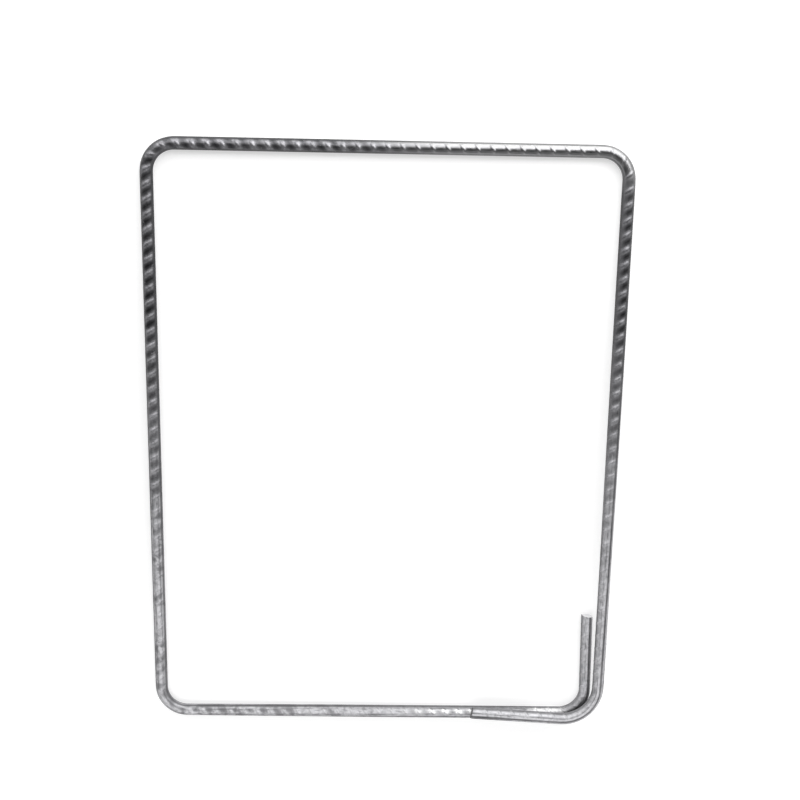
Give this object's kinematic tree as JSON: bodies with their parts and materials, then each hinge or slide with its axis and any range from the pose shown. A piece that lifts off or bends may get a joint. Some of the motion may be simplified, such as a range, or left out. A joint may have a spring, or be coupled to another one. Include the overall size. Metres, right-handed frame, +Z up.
{
  "type": "rebar stirrup",
  "caption": "Closed rectangular stirrup of ribbed reinforcing bar, its hooked ends lapped at one corner, to tie the lengthwise bars of a concrete beam or column.",
  "frame": {"origin": "middle of the loop in plan, on the floor the stirrup lies on", "axes": "+Y along the longer side of the loop, away from the hooked corner; +X across it towards the hooked corner's leg; +Z up, square to the loop"},
  "size_m": [0.3001, 0.3802, 0.0171],
  "materials": {
    "bar_steel": "grey mill scale, brighter on the rib crests and cut ends"
  },
  "bodies": {
    "root": {"stirrup_bar": "bar_steel"}
  },
  "joints": []
}
